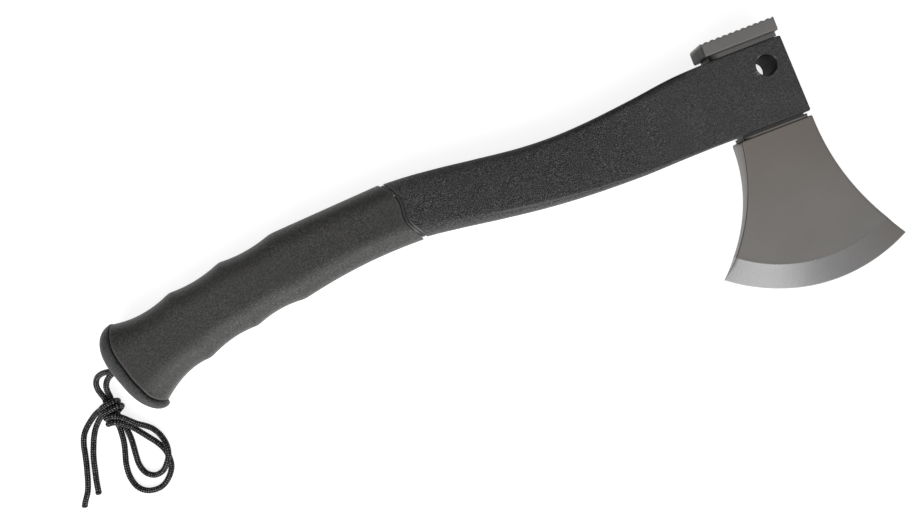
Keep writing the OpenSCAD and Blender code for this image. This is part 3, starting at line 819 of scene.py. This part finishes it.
def swell_line(crests, dips, sign):
    """The grip's edge line as dense points, which dips between one crest and the next, with soft crests."""
    out = []
    for (a, b), dip in zip(zip(crests, crests[1:], strict=False), dips, strict=True):
        for k in range(PER_STRETCH):
            t = k / PER_STRETCH
            out.append(np.array(a) * (1 - t) + np.array(b) * t + np.array([0, sign * dip * 4 * t * (1 - t)]))
    out.append(np.array(crests[-1], float))
    out = np.array(out)
    reach = 5
    weights = np.exp(-0.5 * (np.arange(-reach, reach + 1) / 2.2) ** 2)
    weights /= weights.sum()
    padded = np.concatenate([out[:1]] * reach + [out] + [out[-1:]] * reach)
    return np.stack([np.convolve(padded[:, k], weights, "valid") for k in (0, 1)], -1)


GRIP_TOP_LINE = swell_line(CREST_TOP, DIP_TOP, -1)
GRIP_LOW_LINE = swell_line(CREST_LOW, DIP_LOW, 1)


def grip_point(t, ring, inset, inner):
    """A point of the grip's skin at stretch t, or of its inner wall."""
    place = np.asarray(t) * PER_STRETCH
    steps = np.arange(len(GRIP_TOP_LINE))
    top, low = (
        np.stack([np.interp(place, steps, line[:, k]) for k in (0, 1)], -1)
        for line in (GRIP_TOP_LINE, GRIP_LOW_LINE)
    )
    half = curve(list(enumerate(GRIP_HALF)), t)
    mid, height = (top + low) / 2, np.linalg.norm(top - low, axis=-1) / 2
    up = (top - low) / (2 * height)[..., None]
    if inner:
        height, half = height - SLEEVE_T, half * 0 + CORE_HALF
        corner_y = corner_z = 0.6
    else:
        corner_y, corner_z = height * 0.62 - inset, half * 0.86 - inset
        height, half = height - inset, half - inset
    h, z = rounded(ring, height, half, corner_y, corner_z)
    return np.concatenate([mid + up * h[..., None], z[..., None]], -1)


def grip_ends(ring, gap, inset, inner):
    """Stretch values where the skin meets the butt's arc and the seam, each moved in by gap."""

    def past_butt(t):
        p = grip_point(t, ring, inset, inner)
        out = p[:, :2] - BUTT_C
        inside = np.linalg.norm(out, axis=1) < groove_r(out @ CAP_UP, p[:, 2]) - 0.4 - gap
        return inside | (p[:, 0] >= BUTT_C[0])

    def past_seam(t):
        p = grip_point(t, ring, inset, inner)
        return p[:, 0] > seam_x(p[:, 1]) - SEAM_HALF_GAP - gap

    zero = np.zeros(len(ring))
    half_way = zero + STRETCHES / 2
    return halve(zero, half_way, past_butt), halve(half_way, 2 * half_way, past_seam)


def grip_mesh():
    """The rubber sleeve, open at both ends: its skin from the butt to the seam, then its inner wall back."""
    ring = template(14, 6, 12)
    steps, inner_steps = 150, 40
    rows, wear_and_highlight = [], []

    def add(t, inset=0.0, inner=False, edge_wear_and_highlight=0.0):
        rows.append(grip_point(t, ring, inset, inner))
        wear_and_highlight.append(edge_wear_and_highlight)

    edge_rows = fillet(0.6, 4)
    # lighter ends: a painted highlight on the grip's rounded edges, with wear
    for past, inset in edge_rows:
        start, _ = grip_ends(ring, past, inset, False)
        add(start, inset, edge_wear_and_highlight=0.8 if 0.05 < inset < 0.65 else 0.3)
    start, end = grip_ends(ring, 1.6, 0.0, False)
    for i in range(steps + 1):
        add(start + (end - start) * i / steps)
    for past, inset in reversed(edge_rows):
        _, end = grip_ends(ring, past, inset, False)
        add(end, inset, edge_wear_and_highlight=0.6 if 0.05 < inset < 0.65 else 0.2)
    start, end = grip_ends(ring, 0.0, 0.0, True)
    for i in range(inner_steps + 1):
        add(end + (start - end) * i / inner_steps, inner=True)
    return np.concatenate(rows), tunnel(len(rows), len(ring)), np.repeat(wear_and_highlight, len(ring))


BORE_AT = np.array([-396.2, -17.4, 0.0])
BORE_TILT = math.radians(12)
BORE_IN = np.array([math.cos(BORE_TILT), math.sin(BORE_TILT), 0.0])
SOCKET_R = 7.06
BORE_R = 5.0
CAP_TILT = math.radians(18)
CAP_OUT = np.array([-math.cos(CAP_TILT), -math.sin(CAP_TILT)])
CAP_UP = np.array([-math.sin(CAP_TILT), math.cos(CAP_TILT)])


def groove_r(h, z):
    """Radius of the groove between grip and rim: flatter in the middle, and larger towards the low end."""
    bow = 0.3 * (1 - (z / 14) ** 2) - 0.85 * np.exp(-(((h - 2) / 8) ** 2))
    return BUTT_R - RIM_W + bow + 1.5 * smooth(-h, 9, 19)


def face_r(h, z):
    """Radius of the rim's outer face, flatter in the middle too."""
    return BUTT_R - 0.3 - 0.75 * np.exp(-(((h + 1) / 9) ** 2)) - 0.6 * (z / 14) ** 2


def butt_point(radius, h, z):
    """The point at height h and depth z on the arc of that radius round the butt's centre."""
    out = np.sqrt(np.maximum(radius * radius - h * h, 0))
    xy = BUTT_C + CAP_OUT * out[..., None] + CAP_UP * h[..., None]
    return np.concatenate([xy, z[..., None]], -1)


def cap_mesh():
    """The butt's rim: round its inner edge, over its face, and down the socket for the plug."""
    ring = template(14, 6, 14)
    half_h, mid_h, half_z = 26.95, 0.35, 14
    hole_h = float((BORE_AT[:2] - BUTT_C) @ CAP_UP)
    angle = np.arctan2(ring[:, 1] * 6 + ring[:, 3] * 8, ring[:, 0] * 18 + ring[:, 2] * 9)

    def oval(inset):
        h, z = rounded(ring, half_h - inset, half_z - inset, 14.5 - inset, 13.2 - inset)
        return mid_h + h, z

    def hole(radius):
        return hole_h + radius * np.cos(angle), radius * np.sin(angle)

    def between(a, b, share):
        return a[0] + (b[0] - a[0]) * share, a[1] + (b[1] - a[1]) * share

    rows, wear_and_highlight = [], []

    def add(radius, outline, edge_wear_and_highlight=0.0):
        h, z = outline
        rows.append(butt_point(radius(h, z), h, z))
        wear_and_highlight.append(edge_wear_and_highlight)

    def face(past):
        return lambda h, z: face_r(h, z) - past

    def inner(past):
        return lambda h, z: groove_r(h, z) + past

    low_end = smooth(-oval(0.0)[0], 12, 24)
    more = 1 + low_end
    # lighter rounded edges: a painted highlight with wear, strongest over the rim's outer edge
    for past, inset in fillet(1.4, 6):
        add(inner(past * more), oval(inset * more), 0.3)
    edge = 4.3 - 1.4 * low_end
    for k in range(12):
        a = math.radians(90 * k / 11)
        add(face(edge * (1 - math.sin(a))), oval(edge * (1 - math.cos(a))), 1.1)
    for share in (0.12, 0.26, 0.42, 0.58, 0.74, 0.88):
        add(face(0.0), between(oval(edge), hole(SOCKET_R + 0.7), share))
    for past, inset in reversed(fillet(0.6, 3)):
        add(face(past), hole(SOCKET_R + inset), 0.6)
    for share in (0.1, 0.4, 0.7, 1.0):
        add(lambda h, z: face(0.6)(h, z) * (1 - share) + inner(0.0)(h, z) * share, hole(SOCKET_R))
    for share in (0.3, 0.65):
        add(inner(0.0), between(hole(SOCKET_R), oval(1.4 * more), share))
    return np.concatenate(rows), tunnel(len(rows), len(ring)), np.repeat(wear_and_highlight, len(ring))


def core_mesh():
    """The handle's core inside the grip, as a simple bar that the bore is cut from."""
    ring = template(2, 2, 2)
    steps, slack, shrink = 30, 0.15, 0.985
    rows = []
    start, end = grip_ends(ring, 0.4, 0.0, True)
    for i in range(steps + 1):
        p = grip_point(start + (end - start) * i / steps, ring, 0.0, True)
        p[:, 2] *= (CORE_HALF - slack) / CORE_HALF
        middle = p[:, :2].mean(0)
        p[:, :2] = middle + (p[:, :2] - middle) * shrink
        rows.append(p)
    return np.concatenate(rows), solid(len(rows), ring)


verts, faces, plain, wear_and_highlight = neck_mesh()
fine = smooth(verts[:, 0], -120, -45)
neck = piece("handle_neck", verts, faces, [NYLON], {"plain": plain, "wear_and_highlight": wear_and_highlight, "fine": fine})
HANG_AT = (-12.5, 10.0)
HANG_R = 5.6
HANG_CHAMFER = 0.4
mouth, beyond = HANG_R + HANG_CHAMFER, 2
hang_half = [(BLOCK_HALF + beyond, mouth + beyond), (BLOCK_HALF, mouth), (BLOCK_HALF - HANG_CHAMFER, HANG_R)]
hang_profile = [(-s, r) for s, r in hang_half] + hang_half[::-1]
drill(neck, hang_profile, (*HANG_AT, 0), (0, 0, 1), 128)
x, y, _ = (np.array([v.co[:] for v in neck.data.vertices]) / MM - ORIGIN).T
# painted shade, near black: the hanging hole's wall, the recess under the block by the blade neck, and the
# shaded rounding along the neck's top edge
in_hole = np.hypot(x - HANG_AT[0], y - HANG_AT[1]) < HANG_R + 0.1
painted_underside_shade = smooth(x, -42, -35) * (y < -20.25)
over = smooth(y - curve(NECK_TOP, x), -4.5, -1.2) * smooth(x, -222, -200) * (1 - smooth(x, -60, -46))
set_attribute(neck.data, "deep", np.where(in_hole, 1.0, np.maximum(0.9 * painted_underside_shade, 0.6 * over)))
attach(neck, "hatchet", ["handle_body"])

verts, faces = core_mesh()
core = piece("handle_core", verts, faces, [NYLON])
SOCKET_LEN, BORE_LEN = 17.5, 95
bore_profile = [(-10, SOCKET_R), (SOCKET_LEN, SOCKET_R), (SOCKET_LEN + 0.01, BORE_R)]
bore_profile += [(BORE_LEN, BORE_R), (BORE_LEN + 1, BORE_R - 1)]
drill(core, bore_profile, BORE_AT, BORE_IN, 64)
attach(core, "hatchet")

verts, faces, wear_and_highlight = grip_mesh()
grip = piece("rubber_grip", verts, faces, [RUBBER], {"wear_and_highlight": wear_and_highlight})
attach(grip, "hatchet", ["grip_sleeve"])

verts, faces, wear_and_highlight = cap_mesh()
rim = piece("butt_rim", verts, faces, [NYLON], {"wear_and_highlight": wear_and_highlight, "plain": np.full(len(verts), 0.35)})
attach(rim, "hatchet", ["butt_cap"])

cad_pieces = {"fire_steel_plug": PLUG, "fire_steel_rod": FERRO, "lanyard_pin": PIN, "plug_o_ring": SEAL}
for node, material in cad_pieces.items():
    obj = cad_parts[node]
    obj.data.materials.clear()
    obj.data.materials.append(material)


# ---------- head ----------

EDGE_C = np.array([-12.5, -17.5])  # centre of the cutting edge's arc, and of the line where the bevel starts
EDGE_R = 93.5
BEVEL_R = 79.9
HEEL_C, HEEL_R = (-132.9, -18.4), 94.4  # the arcs of the blade's heel side and toe side
TOE_C, TOE_R = (154.6, -11.8), 153.0
BLADE_TOP = -23.2
THIN_HALF, HOLLOW_Y, HOLLOW_R = 3.3, -84.0, 271.3  # half thickness where the cheeks' hollow is deepest
SIDE_INSETS = [0.0, 0.05, 0.18, 0.4, 0.75]
# painted shade on the blade's heel side wall
SIDE_PAINTED_SHADE = [0.58, 0.58, 0.85, 0.75]  # at the heel's first insets


def side_x(heel, y, inset):
    """The blade's outline at y, moved in by inset, with its top corner rounded off."""
    centre, radius = (HEEL_C, HEEL_R) if heel else (TOE_C, TOE_R)
    reach = np.sqrt(radius**2 - (y - centre[1]) ** 2)
    corner = 1.5 if heel else 0.9
    depth = np.clip(corner - (BLADE_TOP - y), 0, corner)
    rounding = corner - np.sqrt(corner**2 - depth**2)
    sign = 1 if heel else -1
    return centre[0] + sign * (reach + inset * radius / reach + rounding)


def side_y(heel, r, inset):
    """Where the outline is r from the edge's centre."""

    def past(y):
        return math.hypot(side_x(heel, y, inset) - EDGE_C[0], y - EDGE_C[1]) < r

    return float(halve(-112.0, -55.0, past))


def toward(p):
    """The angle at which p lies from the edge's centre."""
    return math.atan2(p[1] - EDGE_C[1], p[0] - EDGE_C[0])


def arc(a, b, radius, u):
    """Points round the edge's centre, from a's direction to b's."""
    turn = toward(a) + (toward(b) - toward(a)) * u
    return EDGE_C + radius * np.concatenate([np.cos(turn), np.sin(turn)], 1)


def blade_mesh():
    """The blade in rows from its top to the cutting edge, each across one face and back on the other."""
    across, body, bevel = 64, 56, 14
    skin = SIDE_INSETS[-1]
    rows, half_rows, wear_rows, sweep_rows, painted_shade_rows = [], [], [], [], []
    ends = {(heel, d): side_y(heel, BEVEL_R, d) for heel in (True, False) for d in SIDE_INSETS}
    corner_a, corner_b = (
        np.array([side_x(heel, ends[heel, skin], skin), ends[heel, skin]]) for heel in (True, False)
    )
    shares = [0.0, 0.0009, 0.003, 0.007, 0.0125, 0.019]
    shares += [0.019 + 0.977 * i / body for i in range(1, body)] + [0.996]
    bevel_rows = [BEVEL_R, BEVEL_R + 0.3]
    bevel_rows += [BEVEL_R + 0.3 + 12.6 * i / bevel for i in range(1, bevel + 1)] + [93.1, 93.35, EDGE_R]

    def outline(heel, inset, share, r):
        if r is None:
            y = BLADE_TOP + (ends[heel, inset] - BLADE_TOP) * share
        else:
            y = side_y(heel, r, inset)
        return np.array([float(side_x(heel, np.float64(y), inset)), y])

    u = np.linspace(0, 1, across + 1)[:, None]
    for share, r in [(v, None) for v in shares] + [(1.0, r) for r in bevel_rows]:
        left = [outline(True, d, share, r) for d in SIDE_INSETS]
        right = [outline(False, d, share, r) for d in SIDE_INSETS]
        a, b = left[-1], right[-1]
        if r is None:
            bow = arc(corner_a, corner_b, BEVEL_R, u) - (corner_a + (corner_b - corner_a) * u)
            line = a + (b - a) * u + bow * share**2
        else:
            line = arc(a, b, r, u)
        front = np.concatenate([left[:-1], line, right[-2::-1]])
        inset = np.concatenate([SIDE_INSETS[:-1], np.full(across + 1, skin), SIDE_INSETS[-2::-1]])
        inset = np.minimum(inset, BLADE_TOP - front[:, 1])
        thick = THIN_HALF + np.maximum(front[:, 1] - HOLLOW_Y, 0) ** 2 / (2 * HOLLOW_R)
        if r is not None:
            left_over = (EDGE_R - 0.25 - r) / (EDGE_R - 0.25 - BEVEL_R)
            thin = max(0.12 + (thick[0] - 0.12) * left_over, 0.0)
            thick = np.full(len(front), thin if r < EDGE_R else 0.02)
        corner = np.minimum(0.7, 0.3 * thick)
        drop = corner - np.sqrt(np.maximum(corner**2 - np.maximum(corner - inset, 0) ** 2, 0))
        rows.append(front)
        half_rows.append(thick - drop)
        wear_rows.append(np.full(len(front), 0.9 if r is not None and r > 93 else 0.0))
        sweep_rows.append(np.arctan2(front[:, 0] - EDGE_C[0], EDGE_C[1] - front[:, 1]))
        # painted shade on the heel side's wall, less on the bevel
        painted_steel_shade = np.zeros(len(front))
        painted_steel_shade[: len(SIDE_PAINTED_SHADE)] = SIDE_PAINTED_SHADE
        painted_shade_rows.append(painted_steel_shade if r is None else painted_steel_shade * 0.5)
    verts = []
    for front, half in zip(rows, half_rows, strict=True):
        verts.append(np.concatenate([front, half[:, None]], 1))
        verts.append(np.concatenate([front, -half[:, None]], 1)[::-1])
    n = len(rows[0])
    m = 2 * n
    last = (len(rows) - 1) * m
    faces = grid(len(rows), m, flip=True)
    faces += [(j, j + 1, m - 2 - j, m - 1 - j) for j in range(n - 1)]
    faces += [(last + m - 1 - j, last + m - 2 - j, last + j + 1, last + j) for j in range(n - 1)]
    is_ground = [len(shares) * m <= i < last and i % m not in (n - 1, m - 1) for i in range(len(faces))]

    def both(values):
        return np.concatenate([np.concatenate([v, v[::-1]]) for v in values])

    return np.concatenate(verts), faces, both(wear_rows), both(sweep_rows), both(painted_shade_rows), is_ground


def bar(low_x, high_x, low_y, high_y, half, corner=1.0):
    """A bar with rounded corners in plan, from low_y to high_y."""
    ring = template(5, 2, 8)
    mid, reach = (low_x + high_x) / 2, (high_x - low_x) / 2
    x, z = rounded(ring, reach, half, corner, corner)
    ys = np.linspace(low_y, high_y, 7)
    verts = np.concatenate([np.stack([mid + x, np.full(len(x), y), z], -1) for y in ys])
    return verts, solid(len(ys), ring, flip=False)


def poll_mesh():
    """The hammer poll: a rounded bar with a row of sharp grooves across its striking face."""
    low_x, high_x, low_y, half, corner = -41.7, 0.4, 25.4, 13.0, 0.7
    grooves, depth = 12, 0.7
    groove_half = 0.333  # as a share of the pitch
    pitch = (high_x - low_x) / grooves
    ring = template(5, 6, 10)
    stations = [(low_x + past, inset) for past, inset in fillet(1.1, 5)]
    for k in range(grooves):
        middle = low_x + pitch * (k + 0.5)
        stations += [(middle + pitch * share, 0.0) for share in (-groove_half, -0.17, 0.0, 0.17, groove_half)]
    stations += [(high_x - past, inset) for past, inset in reversed(fillet(0.5, 5))]
    stations.sort()
    rows, wear_and_highlight = [], []
    for x, inset in stations:
        place = abs(((x - low_x) / pitch) % 1 - 0.5) / groove_half
        top = POLL_TOP - inset - depth * max(0.0, 1 - place)
        mid, height = (top + low_y + inset) / 2, (top - low_y - inset) / 2
        h, z = rounded(ring, height, half - inset, corner, corner)
        rows.append(np.stack([np.full(len(ring), x), mid + h, z], -1))
        at_edge = (np.abs(ring[:, 2]) > 0.2) & (np.abs(ring[:, 3]) > 0.2)
        face = (ring[:, 2] == 1) & (place > 0.9)
        # lighter edges: painted highlights on the upper edges, less on the lower, and wear on the striking
        # face
        poll_edge_wear_and_highlight = np.where(ring[:, 2] < -0.2, 0.1, 0.5)
        flat_wear = np.where(face, 0.8, 0.35 if 0.1 < inset < 0.9 else 0.3)
        wear_and_highlight.append(np.where(at_edge, poll_edge_wear_and_highlight, flat_wear))
    return np.concatenate(rows), solid(len(rows), ring), np.concatenate(wear_and_highlight)


HEAD_SHARP = 24
verts, faces, wear_and_highlight, sweep, painted_steel_shade, is_ground = blade_mesh()
# drift paints the blade's shading: darker and warmer towards its top, paler towards the edge
extra = {"wear_and_highlight": wear_and_highlight, "sweep": sweep, "painted_steel_shade": painted_steel_shade, "drift": smooth(verts[:, 1], -15, -95)}
blade = piece("axe_blade", verts, faces, [STEEL, BEVEL], extra, HEAD_SHARP)
attach(blade, "hatchet", ["axe_head"])
for polygon, ground in zip(blade.data.polygons, is_ground, strict=True):
    polygon.material_index = int(ground)

verts, faces, wear_and_highlight = poll_mesh()
x, y, _ = verts.T
# painted shade: the poll's left end darker towards the bottom next to the block, and a dark line along its
# lower edge
painted_steel_shade = np.maximum(smooth(-x, 40.2, 41.1) * smooth(-y, -35.5, -30.5), 0.9 * smooth(-y, -26.1, -25.7))
extra = {"wear_and_highlight": wear_and_highlight, "drift": np.ones(len(verts)), "painted_steel_shade": painted_steel_shade}
attach(piece("hammer_poll", verts, faces, [STEEL], extra, HEAD_SHARP), "hatchet")

for name, box in (
    ("blade_neck", (-36.4, 0.2, -24.6, -21.4, 9.0)),
    ("poll_neck", (-38.8, -0.4, 22.9, 26.4, 9.5)),
    ("tang_web", (-35.8, -0.8, -22.0, 23.4, 7.0)),
):
    verts, faces = bar(*box)
    x, y, _ = verts.T
    # painted shade at the necks' left ends, and on the blade neck's upper part next to the block
    painted_steel_shade = smooth(-x, 33, 37)
    if name == "blade_neck":
        painted_steel_shade = np.maximum(smooth(-x, 33, 36), smooth(y, -22.6, -21.9))
    extra = {"wear_and_highlight": np.zeros(len(verts)), "drift": np.ones(len(verts)), "painted_steel_shade": painted_steel_shade}
    steel_bar = piece(name, verts, faces, [STEEL], extra)
    if name == "tang_web":
        drill(steel_bar, [(-12, 8.4), (12, 8.4)], (*HANG_AT, 0), (0, 0, 1), 64)
    attach(steel_bar, "hatchet")


# ---------- stage ----------

FAR = 12  # metres from the middle of the floor to its sides
floor_mesh = bpy.data.meshes.new("floor")
floor_mesh.from_pydata([(-FAR, -FAR, 0), (FAR, -FAR, 0), (FAR, FAR, 0), (-FAR, FAR, 0)], [], [(0, 1, 2, 3)])
floor = put("floor", floor_mesh)
paper = surface("floor")
paper.set(Base_Color=(0.6, 0.6, 0.6), Roughness=0.9, Specular_IOR_Level=0.0)
floor_mesh.materials.append(paper.set(Emission_Color=(1.0, 1.0, 1.0), Emission_Strength=0.8))

STUDIO_DARK_LIGHT = (0.0, 0.85)  # the room's light from the picture's upper side and from its lower side
world = bpy.data.worlds.new("studio")
bpy.context.scene.world = world
room = Nodes(world, "Background")
direction = room.add("ShaderNodeTexCoord", {}, "Generated")
towards = room.add("ShaderNodeVectorMath", {0: direction, 1: -VIEW_UP}, "Value", operation="DOT_PRODUCT")
room.set(Color=(1, 1, 1), Strength=room.span(towards, -1, 1, *STUDIO_DARK_LIGHT))


def softbox(name, right, up, high, size, power, aim=(0, 0)):
    """A square soft light, placed and aimed in mm from the view's centre."""
    lamp = bpy.data.lights.new(name, "AREA")
    lamp.shape = "SQUARE"
    lamp.size = size * MM
    lamp.energy = power
    light = put(name, lamp)
    centre = np.array([VIEW_AT[0], VIEW_AT[1], 0])
    place = centre + VIEW_RIGHT * right + VIEW_UP * up + np.array([0, 0, high])
    target = centre + VIEW_RIGHT * aim[0] + VIEW_UP * aim[1]
    light.location = row(place)
    light.rotation_euler = Vector((target - place).tolist()).to_track_quat("-Z", "Y").to_euler()


softbox("bevel_card", 500, -890, 1320, 560, 1.65, (180, 30))
softbox("key_right", 420, -1500, 900, 1000, 11)
softbox("key_left", -600, -1150, 1000, 900, 9)

bpy.context.scene.view_settings.view_transform = "Standard"
